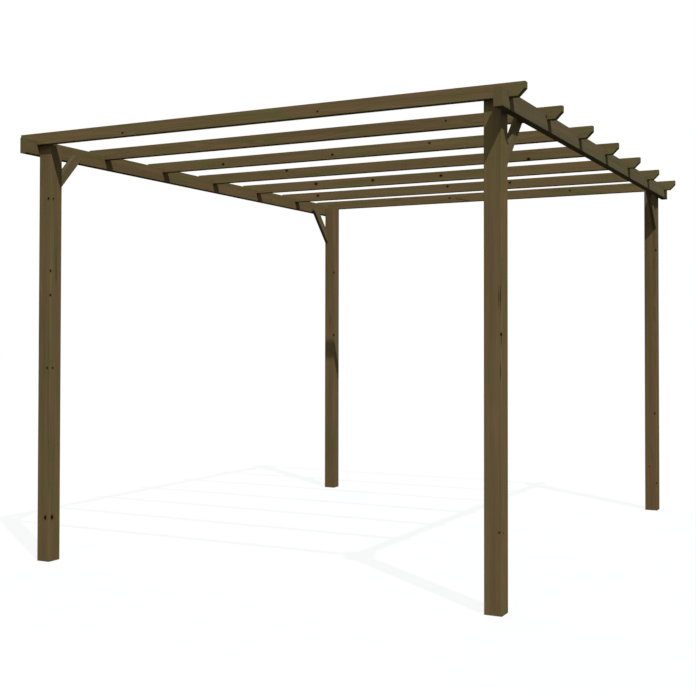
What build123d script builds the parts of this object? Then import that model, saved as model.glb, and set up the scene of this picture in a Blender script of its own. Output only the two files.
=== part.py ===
from build123d import *
import os

# Free-standing wooden pergola: four posts, two side beams, seven rafters and four knee braces.
# Millimetres, +Z up. The origin is on the ground in the middle of the plan, and the front faces -Y.

# Square posts, set out centre to centre.
post_width = 90.0
post_spacing_x = 2790.0
post_spacing_y = 3480.0

# Side beams, fixed to the outer faces of the posts and running from front to back.
beam_thickness = 45.0
beam_height = 90.0
beam_overhang = 110.0
headroom = 2386.0

# Rafters, notched over both beams, with the lower corner of each end cut off.
rafter_count = 7
rafter_thickness = 37.0
rafter_height = 69.0
rafter_overhang = 80.0
notch_depth = 32.0
notch_clearance = 0.5
end_cut_length = 38.0
end_cut_height = 37.0
end_rafter_seat_depth = 14.0

# Knee braces, butted to the posts and lapped on the inner faces of the beams.
brace_thickness = 27.0
brace_drop = 244.0
brace_reach = 223.0
brace_post_cut = 88.0
brace_nose_overhang = 14.0
brace_nose_height = 25.0

# Every long arris is rounded over by this radius.
arris_radius = 3.0

# Places that follow from the sizes above.
beam_top = headroom + beam_height
rafter_underside = beam_top - notch_depth
post_height = rafter_underside
post_x = post_spacing_x / 2
post_y = post_spacing_y / 2
beam_inner_x = post_x + post_width / 2
beam_centre_x = beam_inner_x + beam_thickness / 2
beam_outer_x = beam_inner_x + beam_thickness
beam_half_length = post_y + post_width / 2 + beam_overhang
rafter_half_length = beam_outer_x + rafter_overhang
end_rafter_y = post_y + post_width / 2 + rafter_thickness / 2 - end_rafter_seat_depth
rafter_pitch = 2 * end_rafter_y / (rafter_count - 1)
brace_slope = brace_drop / brace_reach
brace_nose_reach = brace_reach + brace_nose_overhang
brace_nose_bottom = brace_nose_overhang * brace_slope
brace_nose_top = brace_nose_bottom + brace_nose_height
brace_top_reach = (brace_nose_top + brace_drop - brace_post_cut) / brace_slope
brace_post_face_y = post_y - post_width / 2

os.makedirs("parts", exist_ok=True)


def make_post(name, side_x, side_y):
    """Makes one square post, from the ground up to the underside of the rafters."""
    foot = Plane(origin=(side_x * post_x, side_y * post_y, 0))
    with BuildPart() as post:
        with BuildSketch(foot):
            RectangleRounded(post_width, post_width, arris_radius)
        extrude(amount=post_height)
    post.part.label = name
    export_step(post.part, f"parts/{name}.step")


def make_beam(name, side_x):
    """Makes one side beam, with square ends past the front and back posts."""
    middle = Plane(
        origin=(side_x * beam_centre_x, 0, headroom + beam_height / 2),
        x_dir=(1, 0, 0),
        z_dir=(0, 1, 0),
    )
    with BuildPart() as beam:
        with BuildSketch(middle):
            RectangleRounded(beam_thickness, beam_height, arris_radius)
        extrude(amount=beam_half_length, both=True)
    beam.part.label = name
    export_step(beam.part, f"parts/{name}.step")


def make_rafter(name, centre_y):
    """Makes one rafter, notched over both beams, with its two ends shaped."""
    middle = Plane(origin=(0, centre_y, rafter_underside), x_dir=(1, 0, 0), z_dir=(0, -1, 0))
    square_end = rafter_half_length - end_cut_length
    with BuildPart() as rafter:
        with BuildSketch(middle):
            with BuildLine():
                Polyline(
                    (-rafter_half_length, rafter_height),
                    (rafter_half_length, rafter_height),
                    (rafter_half_length, end_cut_height),
                    (square_end, 0),
                    (-square_end, 0),
                    (-rafter_half_length, end_cut_height),
                    close=True,
                )
            make_face()
            with Locations((-beam_centre_x, notch_depth / 2), (beam_centre_x, notch_depth / 2)):
                Rectangle(beam_thickness + 2 * notch_clearance, notch_depth, mode=Mode.SUBTRACT)
        extrude(amount=rafter_thickness / 2, both=True)
        long_edges = rafter.edges().filter_by(Axis.X).group_by(Axis.Z)
        fillet(long_edges[0] + long_edges[-1], arris_radius)
    rafter.part.label = name
    export_step(rafter.part, f"parts/{name}.step")


def make_brace(name, side_x, side_y):
    """Makes one knee brace: a plumb cut on the post, and a plumb and level cut on the beam."""
    beam_face = Plane(
        origin=(side_x * beam_inner_x, side_y * brace_post_face_y, headroom),
        x_dir=(0, -side_y, 0),
        z_dir=(-side_y, 0, 0),
    )
    with BuildPart() as brace:
        with BuildSketch(beam_face):
            with BuildLine():
                Polyline(
                    (0, -brace_drop),
                    (brace_nose_reach, brace_nose_bottom),
                    (brace_nose_reach, brace_nose_top),
                    (brace_top_reach, brace_nose_top),
                    (0, brace_post_cut - brace_drop),
                    close=True,
                )
            make_face()
        extrude(amount=side_x * side_y * brace_thickness)
        sloping_edges = brace.edges()
        for axis in (Axis.X, Axis.Y, Axis.Z):
            sloping_edges = sloping_edges.filter_by(axis, reverse=True)
        fillet(sloping_edges, arris_radius)
    brace.part.label = name
    export_step(brace.part, f"parts/{name}.step")


sides_x = {"left": -1, "right": 1}
sides_y = {"front": -1, "back": 1}

for word_x, side_x in sides_x.items():
    make_beam(f"{word_x}_beam", side_x)
    for word_y, side_y in sides_y.items():
        make_post(f"{word_y}_{word_x}_post", side_x, side_y)
        make_brace(f"{word_y}_{word_x}_brace", side_x, side_y)

for number in range(rafter_count):
    make_rafter(f"rafter_{number + 1}", number * rafter_pitch - end_rafter_y)
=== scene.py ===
"""Dresses a wooden pergola.

Every timber gets its own stained softwood and the rafters get their screws. Then a floor, the
light and a camera are set up.
"""

import logging
import math
from dataclasses import dataclass, field
from enum import Enum
from typing import Callable, Sequence, Union

import bpy
from mathutils import Matrix, Vector


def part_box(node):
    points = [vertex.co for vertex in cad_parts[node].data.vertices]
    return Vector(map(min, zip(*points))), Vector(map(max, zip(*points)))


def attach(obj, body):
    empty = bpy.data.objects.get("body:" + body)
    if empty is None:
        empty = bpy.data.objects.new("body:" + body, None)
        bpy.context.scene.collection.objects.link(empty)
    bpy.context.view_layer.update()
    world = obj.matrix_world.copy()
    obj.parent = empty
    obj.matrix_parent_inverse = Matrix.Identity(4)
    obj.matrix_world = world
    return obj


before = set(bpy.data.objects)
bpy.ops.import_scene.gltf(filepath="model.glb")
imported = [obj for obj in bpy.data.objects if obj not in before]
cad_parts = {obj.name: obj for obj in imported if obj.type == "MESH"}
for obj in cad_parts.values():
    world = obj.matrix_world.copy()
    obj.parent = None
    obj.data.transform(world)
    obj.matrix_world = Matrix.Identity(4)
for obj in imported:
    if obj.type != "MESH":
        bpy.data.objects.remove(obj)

log = logging.getLogger("pergola")

Triple = tuple[float, float, float]
Colour = tuple[float, float, float]
Span = tuple[float, float]
Axes = tuple[Vector, Vector, Vector]
Socket = bpy.types.NodeSocket
Input = Union[Socket, float, Sequence[float]]

UP: Triple = (0.0, 0.0, 1.0)
ACROSS_ONLY: Triple = (0.0, 1.0, 1.0)
WHITE: Colour = (1.0, 1.0, 1.0)


class Lie(Enum):
    """The way a timber lies: its grain direction, then its depth and height directions."""

    RAFTER = ((1, 0, 0), (0, 1, 0), (0, 0, 1))
    BEAM = ((0, 1, 0), (-1, 0, 0), (0, 0, 1))
    POST = ((0, 0, 1), (0, 1, 0), (-1, 0, 0))

    def axes(self) -> Axes:
        """Returns the grain, depth and height directions as vectors."""
        return tuple(Vector(axis) for axis in self.value)


class KnotRun(Enum):
    """The section direction that a knot runs along, written as what it leaves of a place."""

    DEPTH = (1.0, 0.0, 1.0)
    HEIGHT = (1.0, 1.0, 0.0)
    CORNER = (1.0, 1.0, 1.0)


class Mix(Enum):
    """The way that two colours mix."""

    COVER = "MIX"
    TINT = "MULTIPLY"


class Reading(Enum):
    """What is read from a noise pattern: one number, or one for each direction."""

    NUMBER = "Fac"
    VECTOR = "Color"


@dataclass(frozen=True)
class Knot:
    """A pin knot that runs through a timber or sits on its arris, or a long streak of resin.

    The place along the grain is a share of the length, from 0 to 1. The place across is a share of
    the section, from -0.5 to 0.5, in the directions that the knot doesn't run along. The stretch is
    how many times longer than wide it is.
    """

    along_share: float
    across_share: float
    radius: float = 0.006
    run: KnotRun = KnotRun.DEPTH
    stretch: float = 1.22


@dataclass(frozen=True)
class Growth:
    """What sets one timber apart: its tone and tint, with 1 as usual, its knots and its streaks.
    The right beam's tint is painted cool light.
    """

    tone: float = 1.0
    knots: tuple[Knot, ...] = ()
    streaks: tuple[Knot, ...] = ()
    tint: Colour = WHITE


@dataclass(frozen=True)
class Pattern:
    """A noise pattern: its waves in a metre, along and across the grain, and its finer layers."""

    along: float
    across: float
    layers: float = 2.0
    rough: float = 0.5

    def waves(self) -> Triple:
        """Returns the waves in a metre, for each direction."""
        return (self.along, self.across, self.across)


@dataclass(frozen=True)
class Ramp:
    """A smooth step: where it starts and ends, and what it gives before and after."""

    low: float
    high: float
    before: float = 0.0
    after: float = 1.0


@dataclass(frozen=True)
class Stain:
    """The colours of weathered, brown-stained softwood, in linear light, and its roughness."""

    early_wood: Colour = (0.142, 0.101, 0.046)
    late_wood: Colour = (0.104, 0.070, 0.029)
    olive: Colour = (0.115, 0.096, 0.035)
    russet: Colour = (0.152, 0.092, 0.045)
    knot: Colour = (0.014, 0.006, 0.001)
    knot_rim: Colour = (0.078, 0.044, 0.014)
    resin: Colour = (0.026, 0.016, 0.006)
    end_grain: Colour = (0.126, 0.098, 0.045)
    worn: Colour = (0.140, 0.106, 0.055)
    # Grime, and painted shade that darkens the sunlit faces that look up.
    painted_shade_grime: Colour = (0.062, 0.048, 0.023)
    damp: Colour = (0.114, 0.101, 0.041)
    roughness: Ramp = Ramp(0.3, 0.7, 0.86, 0.62)
    specular: float = 0.0


@dataclass(frozen=True)
class Grain:
    """The patterns that a timber grows and dries with, in metres and in waves in a metre."""

    stride: Triple = (7.3, 1.9, 3.1)
    fibre: Pattern = Pattern(5.0, 240.0, 4.0, 0.62)
    streak: Pattern = Pattern(1.1, 34.0, 3.0, 0.6)
    mossy: Pattern = Pattern(2.4, 15.0, 2.0, 0.55)
    ruddy: Pattern = Pattern(3.2, 22.0, 2.0, 0.55)
    ruddy_shift: Triple = (40.0, 0.0, 0.0)
    pore: Pattern = Pattern(900.0, 900.0)
    pith_turn: float = 2.4
    pith_reach: float = 0.6
    pith_wander: Pattern = Pattern(0.9, 2.0)
    pith_sway: float = 0.07
    ring_spacing: float = 0.0042
    ring_shift: Pattern = Pattern(3.0, 20.0)
    ring_rise: Ramp = Ramp(0.25, 0.88)
    ring_stop: Ramp = Ramp(1.0, 0.92)
    knot_push: Ramp = Ramp(5.0, 0.0, 0.0, 0.010)
    knot_far: float = 9.0
    knot_wobble: Pattern = Pattern(60.0, 60.0)
    knot_wobble_span: Span = (0.7, 1.3)
    check_cells: Pattern = Pattern(1.3, 26.0)
    check_width: Ramp = Ramp(0.020, 0.006)
    check_place: Pattern = Pattern(1.6, 9.0)
    check_share: Ramp = Ramp(0.65, 0.73)
    check_end_span: Span = (1.0, 0.4)


@dataclass(frozen=True)
class Wear:
    """How strongly each pattern shows, where weather has changed the stain, and where shade is
    painted on the tops.
    """

    rings: float = 0.55
    mossy: Ramp = Ramp(0.48, 0.64, 0.0, 0.75)
    ruddy: Ramp = Ramp(0.50, 0.64, 0.0, 0.75)
    streak_span: Span = (0.70, 1.30)
    fibre_span: Span = (0.75, 1.25)
    damp_reach: float = 0.15
    arris: float = 0.25
    arris_width: Ramp = Ramp(0.007, 0.001)
    arris_breaks: Ramp = Ramp(0.40, 0.62)
    # Where the faces that look up get grime and painted shade.
    top_facing: Ramp = Ramp(0.25, 0.65)
    top_breaks: Ramp = Ramp(0.2, 0.6, 0.95, 0.65)
    end_facing: Ramp = Ramp(0.55, 0.75)
    end_rings: float = 0.7
    end_pore_span: Span = (0.6, 1.4)
    resin_reach: Ramp = Ramp(2.2, 0.3)
    resin_breaks: Ramp = Ramp(0.38, 0.56, 0.3, 1.0)
    knot_rim: Ramp = Ramp(2.6, 1.0, 0.0, 0.6)
    knot_core: Ramp = Ramp(1.25, 1.0)
    checks: float = 0.85
    relief: float = 0.0007
    relief_strength: float = 0.7
    fibre_relief: float = 0.55
    ring_relief: float = 0.35
    check_relief: float = 1.6
    knot_dent: Ramp = Ramp(1.15, 0.95, 0.0, 0.5)


@dataclass(frozen=True)
class Softwood:
    """The finish of the timbers: their colours, their patterns and their wear."""

    stain: Stain = Stain()
    grain: Grain = Grain()
    wear: Wear = Wear()


class NodeBench:
    """Adds and links the nodes of one material, or of the sky."""

    def __init__(self, owner: Union[bpy.types.Material, bpy.types.World]) -> None:
        """Clears the owner's nodes.

        Args:
            owner: The new material or sky.
        """
        owner.use_nodes = True
        self.owner = owner
        self.tree = owner.node_tree
        self.tree.nodes.clear()

    def add(self, kind: str, **settings: object) -> bpy.types.Node:
        """Adds a node.

        Args:
            kind: The node's type name.
            **settings: Values for the node's own properties.

        Returns:
            The new node.
        """
        node = self.tree.nodes.new(kind)
        for key, value in settings.items():
            setattr(node, key, value)
        return node

    def feed(self, socket: Socket, value: Input) -> None:
        """Links a socket to another, or sets its value.

        Args:
            socket: The input to feed.
            value: An output socket, a number or a vector.
        """
        if isinstance(value, Socket):
            self.tree.links.new(value, socket)
        else:
            socket.default_value = value

    def show(self, surface: Socket) -> None:
        """Makes a shader the owner's surface.

        Args:
            surface: The shader that shows.
        """
        sky = isinstance(self.owner, bpy.types.World)
        out = self.add("ShaderNodeOutputWorld" if sky else "ShaderNodeOutputMaterial")
        self.feed(out.inputs["Surface"], surface)

    def math(self, operation: str, *values: Input) -> Socket:
        """Adds a math node.

        Args:
            operation: The operation's name.
            *values: Its inputs in order.

        Returns:
            The result.
        """
        node = self.add("ShaderNodeMath", operation=operation)
        for socket, value in zip(node.inputs, values):
            self.feed(socket, value)
        return node.outputs[0]

    def vector(self, operation: str, *values: Input) -> Socket:
        """Adds a vector math node.

        Args:
            operation: The operation's name.
            *values: Its inputs in order.

        Returns:
            The result, a number for lengths and products.
        """
        node = self.add("ShaderNodeVectorMath", operation=operation)
        for socket, value in zip(node.inputs, values):
            self.feed(socket, value)
        number = operation in {"LENGTH", "DOT_PRODUCT"}
        return node.outputs["Value" if number else "Vector"]

    def span(self, value: Input, ends: Span) -> Socket:
        """Maps a number between 0 and 1 to a span.

        Args:
            value: The number to map.
            ends: What it gives at 0 and at 1.

        Returns:
            The mapped number.
        """
        start, end = ends
        return self.math("MULTIPLY_ADD", value, end - start, start)

    def step(self, value: Input, ramp: Ramp) -> Socket:
        """Adds a smooth step.

        Args:
            value: The number to map.
            ramp: The step's numbers.

        Returns:
            The mapped number.
        """
        node = self.add("ShaderNodeMapRange", interpolation_type="SMOOTHSTEP")
        node.inputs["From Min"].default_value = ramp.low
        node.inputs["From Max"].default_value = ramp.high
        node.inputs["To Min"].default_value = ramp.before
        node.inputs["To Max"].default_value = ramp.after
        self.feed(node.inputs["Value"], value)
        return node.outputs["Result"]

    def noise(self, place: Input, pattern: Pattern, reading: Reading = Reading.NUMBER) -> Socket:
        """Adds a noise pattern.

        Args:
            place: The point that it is read at.
            pattern: Its waves and layers.
            reading: What is read from it.

        Returns:
            A number about 0.5, or one for each direction.
        """
        node = self.add("ShaderNodeTexNoise")
        self.feed(node.inputs["Vector"], self.vector("MULTIPLY", place, pattern.waves()))
        node.inputs["Scale"].default_value = 1.0
        node.inputs["Detail"].default_value = pattern.layers
        node.inputs["Roughness"].default_value = pattern.rough
        return node.outputs[reading.value]

    def blend(self, amount: Input, under: Input, over: Input, mix: Mix = Mix.COVER) -> Socket:
        """Adds a colour mix.

        Args:
            amount: How much of the second colour shows.
            under: The first colour.
            over: The second colour.
            mix: The way that they mix.

        Returns:
            The mixed colour.
        """
        node = self.add("ShaderNodeMix", data_type="RGBA", blend_type=mix.value)
        inputs = {socket.identifier: socket for socket in node.inputs}
        self.feed(inputs["Factor_Float"], amount)
        for name, colour in (("A_Color", under), ("B_Color", over)):
            self.feed(inputs[name], (*colour, 1.0) if isinstance(colour, tuple) else colour)
        return next(socket for socket in node.outputs if socket.identifier == "Result_Color")

    def grey(self, value: Input) -> Socket:
        """Makes a number a grey colour.

        Args:
            value: How bright the grey is.

        Returns:
            The colour.
        """
        node = self.add("ShaderNodeCombineColor")
        for socket in node.inputs:
            self.feed(socket, value)
        return node.outputs["Color"]

    def plain(self, kind: str, colour: Colour, strength: float = 1.0) -> Socket:
        """Adds a shader of one colour.

        Args:
            kind: The shader's type name.
            colour: Its colour.
            strength: How brightly it shines, if it does.

        Returns:
            The shader.
        """
        node = self.add(kind)
        node.inputs["Color"].default_value = (*colour, 1.0)
        if "Strength" in node.inputs:
            node.inputs["Strength"].default_value = strength
        return node.outputs[0]

    def mixed(self, amount: Input, first: Socket, second: Socket) -> Socket:
        """Adds a mix of two shaders.

        Args:
            amount: How much of the second shader shows.
            first: The first shader.
            second: The second shader.

        Returns:
            The mixed shader.
        """
        node = self.add("ShaderNodeMixShader")
        for socket, value in zip(node.inputs, (amount, first, second)):
            self.feed(socket, value)
        return node.outputs[0]

    def backdrop_ray(self) -> Socket:
        """Finds the rays that show the background.

        Returns:
            1 for rays of the camera, gloss and glass.
        """
        ray = self.add("ShaderNodeLightPath").outputs
        clear = self.math("MAXIMUM", ray["Is Glossy Ray"], ray["Is Transmission Ray"])
        return self.math("MAXIMUM", ray["Is Camera Ray"], clear)


@dataclass
class Figure:
    """The patterns of one timber, each read at the point that is shaded."""

    place: Socket
    ring: Socket
    fibre: Socket
    streak: Socket
    mossy: Socket
    ruddy: Socket
    pore: Socket
    check: Socket
    end: Socket
    knot_gap: Socket
    resin_gap: Socket


@dataclass
class Timber:
    """One sawn timber: a CAD node, the way it lies, and its own pattern of growth."""

    node: str
    axes: Axes
    centre: Vector
    length: float
    depth: float
    height: float
    number: int
    wood: Softwood
    growth: Growth
    damp: float = 0.0

    @classmethod
    def boxed(
        cls, node: str, lie: Lie, number: int, wood: Softwood, growth: Growth, damp: float = 0.0
    ) -> "Timber":
        """Measures a square-set timber from its node.

        Args:
            node: The CAD node's name.
            lie: The way that it lies.
            number: Its own number, which sets its pattern apart.
            wood: Its finish.
            growth: Its tone, knots and streaks.
            damp: How olive its ends are, from 0 to 1.

        Returns:
            The timber.
        """
        low, high = (Vector(corner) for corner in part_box(node))
        axes = lie.axes()
        length, depth, height = (abs((high - low).dot(axis)) for axis in axes)
        centre = (low + high) / 2
        return cls(node, axes, centre, length, depth, height, number, wood, growth, damp)

    def dress(self) -> None:
        """Gives the timber's node its own stained wood."""
        material = self.material()
        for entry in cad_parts[self.node].material_slots:
            entry.material = material
        log.info("%s: stained wood with %d knots", self.node, len(self.growth.knots))

    def material(self) -> bpy.types.Material:
        """Builds the timber's material.

        Returns:
            Wood with growth rings, fibres, knots, drying checks, end grain, worn arrises, and grime
            with painted shade on its tops.
        """
        bench = NodeBench(bpy.data.materials.new(f"{self.node}_wood"))
        figure = self.figure(bench)
        colour = self.weathered(bench, figure)
        colour = bench.blend(figure.end, colour, self.end_grain(bench, figure))
        shader = bench.add("ShaderNodeBsdfPrincipled")
        shader.inputs["Specular IOR Level"].default_value = self.wood.stain.specular
        bench.feed(shader.inputs["Base Color"], self.marked(bench, figure, colour))
        bench.feed(shader.inputs["Roughness"], bench.step(figure.fibre, self.wood.stain.roughness))
        bench.feed(shader.inputs["Normal"], self.relief(bench, figure))
        bench.show(shader.outputs["BSDF"])
        return bench.owner

    def figure(self, bench: NodeBench) -> Figure:
        """Draws the timber's patterns.

        Args:
            bench: The material's nodes.

        Returns:
            The patterns.
        """
        grain = self.wood.grain
        place = self.place(bench)
        grown = bench.vector("ADD", place, tuple(step * self.number for step in grain.stride))
        knot_gap = self.gap(bench, place, self.growth.knots)
        end = self.end_face(bench)
        return Figure(
            place=place,
            ring=self.rings(bench, place, grown, knot_gap),
            fibre=bench.noise(grown, grain.fibre),
            streak=bench.noise(grown, grain.streak),
            mossy=bench.noise(grown, grain.mossy),
            ruddy=bench.noise(bench.vector("ADD", grown, grain.ruddy_shift), grain.ruddy),
            pore=bench.noise(grown, grain.pore),
            check=self.checks(bench, grown, end),
            end=end,
            knot_gap=knot_gap,
            resin_gap=self.gap(bench, place, self.growth.streaks),
        )

    def weathered(self, bench: NodeBench, figure: Figure) -> Socket:
        """Colours the sides of the timber.

        Args:
            bench: The material's nodes.
            figure: The timber's patterns.

        Returns:
            The colour of stained wood, with grime and painted shade on its tops, but without its
            knots.
        """
        stain, wear, growth = self.wood.stain, self.wood.wear, self.growth
        late = bench.math("MULTIPLY", figure.ring, wear.rings)
        colour = bench.blend(late, stain.early_wood, stain.late_wood)
        colour = bench.blend(bench.step(figure.mossy, wear.mossy), colour, stain.olive)
        colour = bench.blend(bench.step(figure.ruddy, wear.ruddy), colour, stain.russet)
        colour = bench.blend(self.damp_end(bench, figure.place), colour, stain.damp)
        start, end = wear.streak_span
        shade = bench.span(figure.streak, (start * growth.tone, end * growth.tone))
        shade = bench.math("MULTIPLY", shade, bench.span(figure.fibre, wear.fibre_span))
        colour = bench.blend(1.0, colour, bench.grey(shade), Mix.TINT)
        # The timber's tint; the right beam's is painted cool light on its outer face.
        colour = bench.blend(1.0, colour, growth.tint, Mix.TINT)
        worn = bench.math("MULTIPLY", self.arris(bench, figure), wear.arris)
        colour = bench.blend(worn, colour, stain.worn)
        # Faces that look up get grime and painted shade, so the sunlit tops don't show bright.
        return bench.blend(self.top_grime_and_painted_shade(bench, figure), colour, stain.painted_shade_grime)

    def end_grain(self, bench: NodeBench, figure: Figure) -> Socket:
        """Colours the cut ends of the timber.

        Args:
            bench: The material's nodes.
            figure: The timber's patterns.

        Returns:
            The colour of end grain, with its rings and pores.
        """
        stain, wear = self.wood.stain, self.wood.wear
        late = bench.math("MULTIPLY", figure.ring, wear.end_rings)
        colour = bench.blend(late, stain.end_grain, stain.knot_rim)
        pores = bench.grey(bench.span(figure.pore, wear.end_pore_span))
        return bench.blend(1.0, colour, pores, Mix.TINT)

    def marked(self, bench: NodeBench, figure: Figure, colour: Socket) -> Socket:
        """Adds resin, knots and drying checks to the wood's colour.

        Args:
            bench: The material's nodes.
            figure: The timber's patterns.
            colour: The colour without them.

        Returns:
            The colour with them.
        """
        stain, wear = self.wood.stain, self.wood.wear
        resin = bench.step(figure.resin_gap, wear.resin_reach)
        resin = bench.math("MULTIPLY", resin, bench.step(figure.fibre, wear.resin_breaks))
        colour = bench.blend(resin, colour, stain.resin)
        colour = bench.blend(bench.step(figure.knot_gap, wear.knot_rim), colour, stain.knot_rim)
        colour = bench.blend(bench.step(figure.knot_gap, wear.knot_core), colour, stain.knot)
        check = bench.math("MULTIPLY", figure.check, wear.checks)
        return bench.blend(check, colour, stain.knot)

    def relief(self, bench: NodeBench, figure: Figure) -> Socket:
        """Raises the fibres and rings, and sinks the checks and knots.

        Args:
            bench: The material's nodes.
            figure: The timber's patterns.

        Returns:
            The direction that the rough surface faces.
        """
        wear = self.wood.wear
        rings = bench.math("MULTIPLY", figure.ring, wear.ring_relief)
        height = bench.math("MULTIPLY_ADD", figure.fibre, wear.fibre_relief, rings)
        checks = bench.math("MULTIPLY", figure.check, wear.check_relief)
        height = bench.math("SUBTRACT", height, checks)
        height = bench.math("SUBTRACT", height, bench.step(figure.knot_gap, wear.knot_dent))
        bump = bench.add("ShaderNodeBump")
        bump.inputs["Strength"].default_value = wear.relief_strength
        bump.inputs["Distance"].default_value = wear.relief
        bench.feed(bump.inputs["Height"], height)
        return bump.outputs["Normal"]

    def place(self, bench: NodeBench) -> Socket:
        """Reads a point in the timber's own directions, from its centre.

        Args:
            bench: The material's nodes.

        Returns:
            The place along the grain, the depth and the height.
        """
        spot = bench.add("ShaderNodeTexCoord")
        turn = bench.add("ShaderNodeMapping", vector_type="TEXTURE")
        turn.inputs["Location"].default_value = self.centre
        turn.inputs["Rotation"].default_value = Matrix(self.axes).transposed().to_euler()
        bench.feed(turn.inputs["Vector"], spot.outputs["Object"])
        return turn.outputs["Vector"]

    def gap(self, bench: NodeBench, place: Input, knots: Sequence[Knot]) -> Socket:
        """Measures how far a point is from the nearest of some knots.

        Args:
            bench: The material's nodes.
            place: The point, in the timber's own directions.
            knots: The knots or streaks.

        Returns:
            The distance in knot radii.
        """
        grain = self.wood.grain
        far: Input = grain.knot_far
        for knot in knots:
            along = (knot.along_share - 0.5) * self.length
            across = knot.across_share
            middle = Vector((along, across * self.depth, across * self.height))
            keep = Vector(knot.run.value)
            squeeze = Vector((keep.x / knot.stretch, keep.y, keep.z)) / knot.radius
            offset = bench.vector("SUBTRACT", place, middle)
            gap = bench.vector("LENGTH", bench.vector("MULTIPLY", offset, squeeze))
            far = bench.math("MINIMUM", far, gap)
        wobble = bench.span(bench.noise(place, grain.knot_wobble), grain.knot_wobble_span)
        return bench.math("MULTIPLY", far, wobble)

    def rings(self, bench: NodeBench, place: Input, grown: Input, knot_gap: Input) -> Socket:
        """Draws the growth rings about a wandering pith outside the section.

        Args:
            bench: The material's nodes.
            place: The point, in the timber's own directions.
            grown: The point moved to the timber's own part of the pattern.
            knot_gap: The distance from the nearest knot.

        Returns:
            0 in early wood, rising to 1 in late wood.
        """
        grain = self.wood.grain
        angle = grain.pith_turn * self.number
        reach = grain.pith_reach * (self.depth + self.height)
        pith = Vector((0.0, reach * math.cos(angle), reach * math.sin(angle)))
        wander = bench.noise(grown, grain.pith_wander, Reading.VECTOR)
        amount = tuple(grain.pith_sway * share for share in ACROSS_ONLY)
        sway = bench.vector("MULTIPLY_ADD", wander, amount, -pith)
        across = bench.vector("MULTIPLY", place, ACROSS_ONLY)
        radius = bench.vector("LENGTH", bench.vector("ADD", across, sway))
        radius = bench.math("ADD", radius, bench.step(knot_gap, grain.knot_push))
        turns = bench.math("DIVIDE", radius, grain.ring_spacing)
        turns = bench.math("ADD", turns, bench.noise(grown, grain.ring_shift))
        phase = bench.math("FRACT", turns)
        rise = bench.step(phase, grain.ring_rise)
        return bench.math("MULTIPLY", rise, bench.step(phase, grain.ring_stop))

    def checks(self, bench: NodeBench, grown: Input, end: Input) -> Socket:
        """Draws the thin drying checks along the grain.

        Args:
            bench: The material's nodes.
            grown: The point moved to the timber's own part of the pattern.
            end: 1 on a cut end.

        Returns:
            1 in a check, and 0 elsewhere.
        """
        grain = self.wood.grain
        cells = bench.add("ShaderNodeTexVoronoi", feature="DISTANCE_TO_EDGE")
        spot = bench.vector("MULTIPLY", grown, grain.check_cells.waves())
        bench.feed(cells.inputs["Vector"], spot)
        cells.inputs["Scale"].default_value = 1.0
        thin = bench.step(cells.outputs["Distance"], grain.check_width)
        where = bench.step(bench.noise(grown, grain.check_place), grain.check_share)
        opened = bench.math("MULTIPLY", thin, where)
        return bench.math("MULTIPLY", opened, bench.span(end, grain.check_end_span))

    def damp_end(self, bench: NodeBench, place: Input) -> Socket:
        """Finds the stretches near both ends, where damp turns the wood olive.

        Args:
            bench: The material's nodes.
            place: The point, in the timber's own directions.

        Returns:
            How olive a point is.
        """
        parts = bench.add("ShaderNodeSeparateXYZ")
        bench.feed(parts.inputs[0], place)
        along = bench.math("ABSOLUTE", parts.outputs["X"])
        tip = self.length / 2
        return bench.step(along, Ramp(tip - self.wood.wear.damp_reach, tip, 0.0, self.damp))

    def end_face(self, bench: NodeBench) -> Socket:
        """Finds the cut ends of the timber.

        Args:
            bench: The material's nodes.

        Returns:
            1 where the surface faces along the grain, and 0 on the sides.
        """
        spot = bench.add("ShaderNodeTexCoord")
        facing = bench.vector("DOT_PRODUCT", spot.outputs["Normal"], tuple(self.axes[0]))
        return bench.step(bench.math("ABSOLUTE", facing), self.wood.wear.end_facing)

    def arris(self, bench: NodeBench, figure: Figure) -> Socket:
        """Finds the long arrises, where the stain is worn.

        Args:
            bench: The material's nodes.
            figure: The timber's patterns.

        Returns:
            1 on a worn arris, and 0 away from it.
        """
        wear = self.wood.wear
        parts = bench.add("ShaderNodeSeparateXYZ")
        bench.feed(parts.inputs[0], figure.place)
        side = bench.math("ABSOLUTE", parts.outputs["Y"])
        side = bench.math("SUBTRACT", self.depth / 2, side)
        edge = bench.math("ABSOLUTE", parts.outputs["Z"])
        edge = bench.math("SUBTRACT", self.height / 2, edge)
        near = bench.step(bench.math("MAXIMUM", side, edge), wear.arris_width)
        return bench.math("MULTIPLY", near, bench.step(figure.streak, wear.arris_breaks))

    def top_grime_and_painted_shade(self, bench: NodeBench, figure: Figure) -> Socket:
        """Finds the faces that look up, where grime sits in the grain and painted shade keeps the
        sunlit tops from showing bright.

        Args:
            bench: The material's nodes.
            figure: The timber's patterns.

        Returns:
            How much grime and painted shade a point gets.
        """
        wear = self.wood.wear
        spot = bench.add("ShaderNodeTexCoord")
        facing = bench.vector("DOT_PRODUCT", spot.outputs["Normal"], UP)
        top = bench.step(facing, wear.top_facing)
        return bench.math("MULTIPLY", top, bench.step(figure.fibre, wear.top_breaks))


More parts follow.
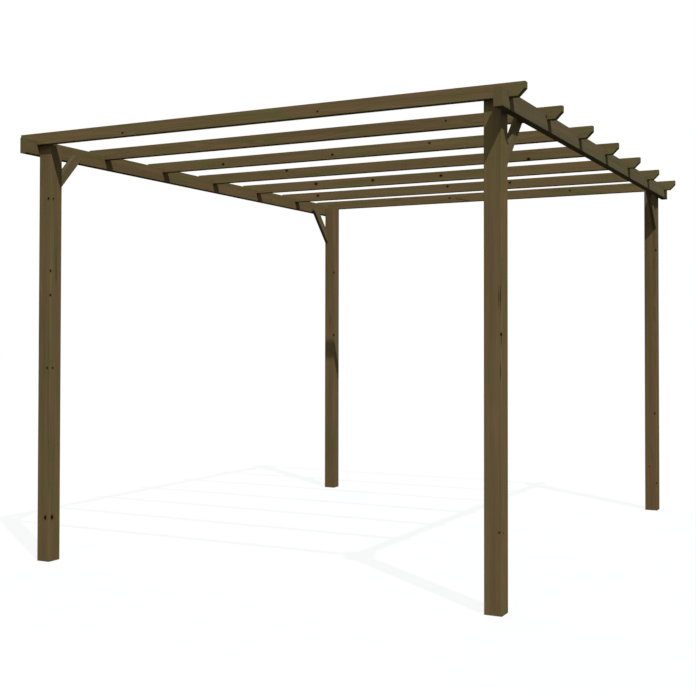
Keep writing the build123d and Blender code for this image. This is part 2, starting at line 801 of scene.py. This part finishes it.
@dataclass
class Posts:
    """The four square posts."""

    wood: Softwood
    first_number: int = 1
    growths: dict[str, Growth] = field(default_factory=lambda: {
        "front_left_post": Growth(0.92, (
            Knot(0.870, -0.28, 0.0055), Knot(0.870, -0.28, 0.0045, KnotRun.HEIGHT),
            Knot(0.696, -0.49, 0.005, KnotRun.CORNER), Knot(0.638, -0.49, 0.005, KnotRun.CORNER),
            Knot(0.463, -0.25, 0.005), Knot(0.463, -0.25, 0.0045, KnotRun.HEIGHT),
            Knot(0.105, -0.17, 0.0075, stretch=1.45),
            Knot(0.105, -0.23, 0.008, KnotRun.HEIGHT, 1.45),
        )),
        "front_right_post": Growth(1.0, (
            Knot(0.543, -0.48, 0.005, KnotRun.CORNER),
            Knot(0.161, -0.36, 0.0035), Knot(0.159, -0.28, 0.0035, KnotRun.HEIGHT),
        ), (
            Knot(0.655, -0.48, 0.0016, KnotRun.CORNER, 44.0),
            Knot(0.6175, -0.333, 0.0013, stretch=28.0),
            Knot(0.6135, -0.433, 0.0020, stretch=22.0),
            Knot(0.533, -0.485, 0.0018, KnotRun.CORNER, 13.0),
            Knot(0.4716, -0.44, 0.0018, stretch=16.0),
        )),
        "back_left_post": Growth(0.92, (
            Knot(0.769, -0.48, 0.006, KnotRun.CORNER), Knot(0.545, -0.48, 0.007, KnotRun.CORNER),
        ), (
            Knot(0.594, -0.113, 0.0020, stretch=28.0), Knot(0.594, 0.010, 0.0020, stretch=28.0),
        )),
        "back_right_post": Growth(0.90, (
            Knot(0.810, -0.48, 0.006, KnotRun.CORNER), Knot(0.301, -0.33, 0.005),
            Knot(0.135, 0.13, 0.003), Knot(0.085, -0.48, 0.0045, KnotRun.CORNER),
        ), tint=(1.05, 0.985, 0.98)),
    })

    def dress(self) -> None:
        """Stains every post."""
        for number, (node, growth) in enumerate(self.growths.items(), self.first_number):
            Timber.boxed(node, Lie.POST, number, self.wood, growth).dress()


@dataclass
class Beams:
    """The two side beams."""

    wood: Softwood
    first_number: int = 11
    damp: float = 0.6
    growths: dict[str, Growth] = field(default_factory=lambda: {
        "left_beam": Growth(0.895, (Knot(0.34, 0.22, 0.003), Knot(0.71, -0.12, 0.004))),
        # The right beam's cool tint, and the tone raised with it, are painted light: a cool cast of
        # light on its outer face.
        "right_beam": Growth(1.12, (
            Knot(0.177, 0.30, 0.005), Knot(0.57, 0.10, 0.003), Knot(0.86, -0.24, 0.003),
        ), tint=(0.75, 0.83, 1.0)),
    })

    def dress(self) -> None:
        """Stains both beams."""
        for number, (node, growth) in enumerate(self.growths.items(), self.first_number):
            Timber.boxed(node, Lie.BEAM, number, self.wood, growth, self.damp).dress()


@dataclass
class Rafters:
    """The seven rafters, from front to back."""

    wood: Softwood
    first_number: int = 21
    damp: float = 0.85
    growths: dict[str, Growth] = field(default_factory=lambda: {
        "rafter_1": Growth(1.0, (Knot(0.243, -0.22, 0.0045), Knot(0.645, -0.14, 0.004))),
        "rafter_2": Growth(0.945, (Knot(0.793, 0.14, 0.004),)),
        "rafter_3": Growth(1.02, (
            Knot(0.200, -0.16), Knot(0.465, -0.12, 0.006), Knot(0.679, 0.20, 0.005),
        )),
        "rafter_4": Growth(0.96, (Knot(0.243, 0.30, 0.007), Knot(0.817, -0.40, 0.008))),
        "rafter_5": Growth(1.0, (
            Knot(0.212, 0.11, 0.009), Knot(0.367, 0.07, 0.008), Knot(0.543, 0.05, 0.008),
        )),
        "rafter_6": Growth(1.005, (
            Knot(0.110, 0.09, 0.008), Knot(0.480, 0.18, 0.007), Knot(0.644, 0.16, 0.007),
        )),
        "rafter_7": Growth(0.98, (Knot(0.407, 0.05, 0.006), Knot(0.738, 0.09, 0.005))),
    })

    def dress(self) -> None:
        """Stains every rafter."""
        for number, (node, growth) in enumerate(self.growths.items(), self.first_number):
            Timber.boxed(node, Lie.RAFTER, number, self.wood, growth, self.damp).dress()


@dataclass
class Braces:
    """The four knee braces, which slope up from the posts to the beams."""

    wood: Softwood
    first_number: int = 41
    growth: Growth = Growth(1.03, tint=(0.86, 0.92, 1.0))
    drop: float = 0.244
    reach: float = 0.223
    post_cut: float = 0.088
    front_nodes: tuple[str, ...] = ("front_left_brace", "front_right_brace")
    back_nodes: tuple[str, ...] = ("back_left_brace", "back_right_brace")

    def dress(self) -> None:
        """Stains every brace along its slope."""
        for number, node in enumerate(self.front_nodes + self.back_nodes, self.first_number):
            self.timber(node, number).dress()

    def timber(self, node: str, number: int) -> Timber:
        """Measures a brace, which slopes towards the middle of its beam.

        Args:
            node: The CAD node's name.
            number: Its own number, which sets its pattern apart.

        Returns:
            The timber.
        """
        low, high = (Vector(corner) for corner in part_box(node))
        length = math.hypot(self.drop, self.reach)
        inward = 1.0 if node in self.front_nodes else -1.0
        foot_y = low.y if node in self.front_nodes else high.y
        grain = Vector((0.0, inward * self.reach, self.drop)) / length
        depth = Vector((-inward, 0.0, 0.0))
        centre = (low + high) / 2
        centre.y = foot_y + inward * self.reach / 2
        centre.z = low.z + (self.drop + self.post_cut) / 2
        axes = (grain, depth, grain.cross(depth))
        thickness = high.x - low.x
        width = self.post_cut * self.reach / length
        return Timber(node, axes, centre, length, thickness, width, number, self.wood, self.growth)


@dataclass(frozen=True)
class ScrewCoat:
    """The finish of a screw head with a brown coat over steel, and of the near-black fill in its
    shallow drive: dirt, and painted shade that stands in for a deep recess.
    """

    coat: Colour = (0.048, 0.036, 0.022)
    bared: Colour = (0.14, 0.13, 0.11)
    metallic: float = 0.8
    roughness: float = 0.50
    # The drive's fill: dirt, and painted shade that stands in for a deep recess.
    dirt_and_painted_shade: Colour = (0.010, 0.008, 0.005)
    dust: Colour = (0.030, 0.024, 0.014)
    drive_fill_roughness: float = 0.9
    roughness_spread: float = 0.1
    specular: float = 0.1
    specks: Pattern = Pattern(900.0, 900.0, 3.0, 0.6)
    speck_share: Ramp = Ramp(0.56, 0.70)

    def metal(self) -> bpy.types.Material:
        """Builds the brown metal, rubbed bare in specks."""
        return self.speckled("screw_coat", (self.coat, self.bared), self.metallic, self.roughness)

    def drive_shade_and_dirt(self) -> bpy.types.Material:
        """Builds the near-black fill of the shallow drive: dirt, and painted shade of a deep
        recess.
        """
        return self.speckled("screw_drive_grit_and_shade", (self.dirt_and_painted_shade, self.dust), 0.0, self.drive_fill_roughness)

    def speckled(
        self, name: str, colours: tuple[Colour, Colour], metallic: float, rough: float
    ) -> bpy.types.Material:
        """Builds a finish with fine specks.

        Args:
            name: The material's name.
            colours: Its main colour and the colour of its specks.
            metallic: 1 for bare metal, and 0 for dirt.
            rough: How rough it is.

        Returns:
            The finish.
        """
        bench = NodeBench(bpy.data.materials.new(name))
        spot = bench.add("ShaderNodeTexCoord")
        speck = bench.noise(spot.outputs["Object"], self.specks)
        spread = (rough - self.roughness_spread, rough + self.roughness_spread)
        shader = bench.add("ShaderNodeBsdfPrincipled")
        shader.inputs["Metallic"].default_value = metallic
        shader.inputs["Specular IOR Level"].default_value = self.specular
        colour = bench.blend(bench.step(speck, self.speck_share), *colours)
        bench.feed(shader.inputs["Base Color"], colour)
        bench.feed(shader.inputs["Roughness"], bench.span(speck, spread))
        bench.show(shader.outputs["BSDF"])
        return bench.owner


@dataclass
class RafterScrews:
    """The countersunk screws that hold every rafter down on both beams."""

    coat: ScrewCoat
    beams: tuple[str, ...] = ("left_beam", "right_beam")
    rafter_count: int = 7
    head_radius: float = 0.0055
    head_height: float = 0.0040
    shank_radius: float = 0.0025
    sides: int = 24
    rim_bevel: float = 0.0004
    rim_segments: int = 2
    drive_radius: float = 0.0027
    drive_depth: float = 0.00022
    drive_lobes: int = 6
    drive_waist: float = 0.72
    waist_share: float = -0.1
    proud: float = 0.0003
    facing_up: float = 0.5
    smooth_angle: float = 35.0
    slack: float = 1e-5

    def build(self) -> None:
        """Models one screw, copies it to every crossing and joins them all."""
        screw = self.screw()
        self.dress(screw)
        copies = [self.copy(screw, place) for place in self.places()]
        bpy.data.objects.remove(screw)
        bpy.ops.object.select_all(action="DESELECT")
        for copy in copies:
            copy.select_set(True)
        bpy.context.view_layer.objects.active = copies[0]
        bpy.ops.object.join()
        screws = bpy.context.object
        screws.name = "rafter_screws"
        bpy.ops.object.shade_smooth_by_angle(angle=math.radians(self.smooth_angle))
        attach(screws, "root")
        log.info("rafter_screws: %d screws", len(copies))

    def places(self) -> list[Vector]:
        """Finds the middle of every rafter's top over each beam.

        Returns:
            Where the tops of the heads go.
        """
        found = []
        for beam in self.beams:
            low, high = (Vector(corner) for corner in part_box(beam))
            for number in range(self.rafter_count):
                below, above = (Vector(corner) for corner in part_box(f"rafter_{number + 1}"))
                middle_x = (low.x + high.x) / 2
                middle_y = (below.y + above.y) / 2
                found.append(Vector((middle_x, middle_y, above.z + self.proud)))
        return found

    def screw(self) -> bpy.types.Object:
        """Models a screw head, with its top at the origin.

        Returns:
            A countersunk head with a lobed drive.
        """
        waist = -self.head_height / 2
        bpy.ops.object.select_all(action="DESELECT")
        bpy.ops.mesh.primitive_cylinder_add(
            vertices=self.sides,
            radius=self.head_radius,
            depth=self.head_height,
            location=(0.0, 0.0, waist),
        )
        bpy.ops.object.transform_apply(location=True, rotation=True, scale=True)
        screw = bpy.context.object
        self.pick(screw, lambda spot: spot.z < waist)
        taper = self.shank_radius / self.head_radius
        bpy.ops.transform.resize(value=(taper, taper, 1.0))
        self.pick(screw, lambda spot: spot.z > waist)
        bpy.ops.mesh.inset(thickness=self.head_radius - self.drive_radius)
        sink = (0.0, 0.0, -self.drive_depth)
        bpy.ops.mesh.extrude_region_move(TRANSFORM_OT_translate={"value": sink})
        self.pick(screw, self.between_lobes)
        bpy.ops.transform.resize(value=(self.drive_waist, self.drive_waist, 1.0))
        self.pick(screw, self.on_rim)
        bpy.ops.mesh.bevel(offset=self.rim_bevel, segments=self.rim_segments)
        bpy.ops.object.mode_set(mode="OBJECT")
        return screw

    def between_lobes(self, spot: Vector) -> bool:
        """Tells whether a point is on the drive, between two of its lobes.

        Args:
            spot: The point.

        Returns:
            Whether it is.
        """
        reach = self.drive_radius + self.slack
        inside = spot.xy.length < reach and spot.z > -self.drive_depth - self.slack
        wave = math.cos(self.drive_lobes * math.atan2(spot.y, spot.x))
        return inside and wave < self.waist_share

    def on_rim(self, spot: Vector) -> bool:
        """Tells whether a point is on the rim of the head's top."""
        return spot.z > -self.slack and spot.xy.length > self.head_radius - self.slack

    def dress(self, screw: bpy.types.Object) -> None:
        """Coats the screw, and fills its shallow drive with near-black dirt and painted shade.

        Args:
            screw: The screw that was modelled.
        """
        screw.data.materials.append(self.coat.metal())
        screw.data.materials.append(self.coat.drive_shade_and_dirt())
        for face in screw.data.polygons:
            # The floor of the shallow drive gets the near-black fill: painted shade of a deep
            # recess, with dirt.
            inside = face.center.xy.length < self.drive_radius / 2
            face.material_index = int(inside and face.normal.z > self.facing_up)

    def pick(self, piece: bpy.types.Object, wanted: Callable[[Vector], bool]) -> None:
        """Selects a piece's points by their place, and goes into edit mode.

        Args:
            piece: The piece to select on.
            wanted: Tells whether a point is selected.
        """
        if bpy.context.mode != "OBJECT":
            bpy.ops.object.mode_set(mode="OBJECT")
        bpy.ops.object.mode_set(mode="EDIT")
        bpy.ops.mesh.select_mode(type="VERT")
        bpy.ops.mesh.select_all(action="DESELECT")
        bpy.ops.object.mode_set(mode="OBJECT")
        for point in piece.data.vertices:
            point.select = wanted(point.co)
        bpy.ops.object.mode_set(mode="EDIT")

    def copy(self, screw: bpy.types.Object, place: Vector) -> bpy.types.Object:
        """Copies the screw, with its own mesh, to a place.

        Args:
            screw: The screw that was modelled.
            place: Where the top of its head goes.

        Returns:
            The copy, with its place in its mesh.
        """
        mesh = screw.data.copy()
        mesh.transform(Matrix.Translation(place))
        copy = bpy.data.objects.new("screw", mesh)
        bpy.context.collection.objects.link(copy)
        return copy


@dataclass(frozen=True)
class FarLamp:
    """A lamp so far off that its rays run side by side.

    The travel is the way that its light goes. The angle is how wide it looks, in degrees: a small
    one gives crisp shadows.
    """

    name: str
    travel: Triple
    strength: float
    angle: float
    distance: float = 8.0

    def hang(self) -> None:
        """Hangs the lamp and turns it along its travel."""
        way = Vector(self.travel)
        bpy.ops.object.light_add(type="SUN", location=way * -self.distance)
        lamp = bpy.context.object
        lamp.name = self.name
        lamp.data.energy = self.strength
        lamp.data.angle = math.radians(self.angle)
        lamp.rotation_euler = way.to_track_quat("-Z", "Y").to_euler()
        log.info("%s: hung", self.name)


@dataclass
class Studio:
    """The floor, the light and the camera, which stands where the photograph was taken from."""

    eye: Triple = (3.1681, -6.6214, 1.3139)
    level: float = 90.0
    yaw: float = 26.173
    pitch: float = 1.019
    roll: float = 0.053
    focal_pixels: float = 1081.0
    principal_pixel: tuple[float, float] = (378.2, 317.9)
    frame_pixels: float = 696.0
    sensor: float = 36.0
    sight: float = 200.0
    lamps: tuple[FarLamp, ...] = (
        FarLamp("sun", (-0.53, 0.395, -1.0), 4.15, 0.8),
        FarLamp("front_fill", (-0.10, 0.55, -0.95), 0.72, 35.0),
        FarLamp("back_fill", (0.55, -0.60, -0.60), 2.2, 60.0),
    )
    sky_tint: Colour = (0.90, 1.0, 1.06)
    sky_strength: float = 0.48
    floor_size: float = 90.0
    floor_pale: float = 0.48
    floor_bounce: float = 0.055
    shadow_share: float = 0.12

    def build(self) -> None:
        """Sets the whole stage up."""
        self.floor()
        for lamp in self.lamps:
            lamp.hang()
        self.sky()
        self.camera()
        bpy.context.scene.view_settings.view_transform = "Standard"

    def floor(self) -> None:
        """Lays a plain pale floor that is white where it is seen, but for a faint shadow."""
        bpy.ops.object.select_all(action="DESELECT")
        bpy.ops.mesh.primitive_plane_add(size=self.floor_size, location=(0.0, 0.0, 0.0))
        floor = bpy.context.object
        floor.name = "floor"
        bench = NodeBench(bpy.data.materials.new("pale_floor"))
        glow = bench.plain("ShaderNodeEmission", WHITE)
        pale = bench.plain("ShaderNodeBsdfDiffuse", (self.floor_pale,) * 3)
        dull = bench.plain("ShaderNodeBsdfDiffuse", (self.floor_bounce,) * 3)
        shown = bench.mixed(self.shadow_share, glow, pale)
        bench.show(bench.mixed(bench.backdrop_ray(), dull, shown))
        floor.data.materials.append(bench.owner)
        log.info("floor: laid")

    def sky(self) -> None:
        """Makes an even soft sky, white where it is seen."""
        world = bpy.data.worlds.new("studio_sky")
        bpy.context.scene.world = world
        bench = NodeBench(world)
        soft = bench.plain("ShaderNodeBackground", self.sky_tint, self.sky_strength)
        white = bench.plain("ShaderNodeBackground", WHITE)
        bench.show(bench.mixed(bench.backdrop_ray(), soft, white))

    def camera(self) -> None:
        """Stands the camera at the photograph's viewing place."""
        bpy.ops.object.camera_add(location=self.eye)
        camera = bpy.context.object
        camera.name = "camera"
        turn = (self.level + self.pitch, -self.roll, self.yaw)
        camera.rotation_euler = tuple(math.radians(angle) for angle in turn)
        lens = camera.data
        lens.sensor_width = self.sensor
        lens.sensor_fit = "HORIZONTAL"
        lens.lens = self.focal_pixels * self.sensor / self.frame_pixels
        middle = self.frame_pixels / 2
        lens.shift_x = (middle - self.principal_pixel[0]) / self.frame_pixels
        lens.shift_y = (self.principal_pixel[1] - middle) / self.frame_pixels
        lens.clip_end = self.sight
        bpy.context.scene.camera = camera


def main() -> None:
    """Dresses the timbers, builds the screws and sets the stage."""
    logging.basicConfig(level=logging.INFO, format="%(name)s: %(message)s")
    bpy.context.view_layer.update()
    wood = Softwood()
    Posts(wood).dress()
    Beams(wood).dress()
    Rafters(wood).dress()
    Braces(wood).dress()
    RafterScrews(ScrewCoat()).build()
    Studio().build()


if __name__ == "__main__":
    main()
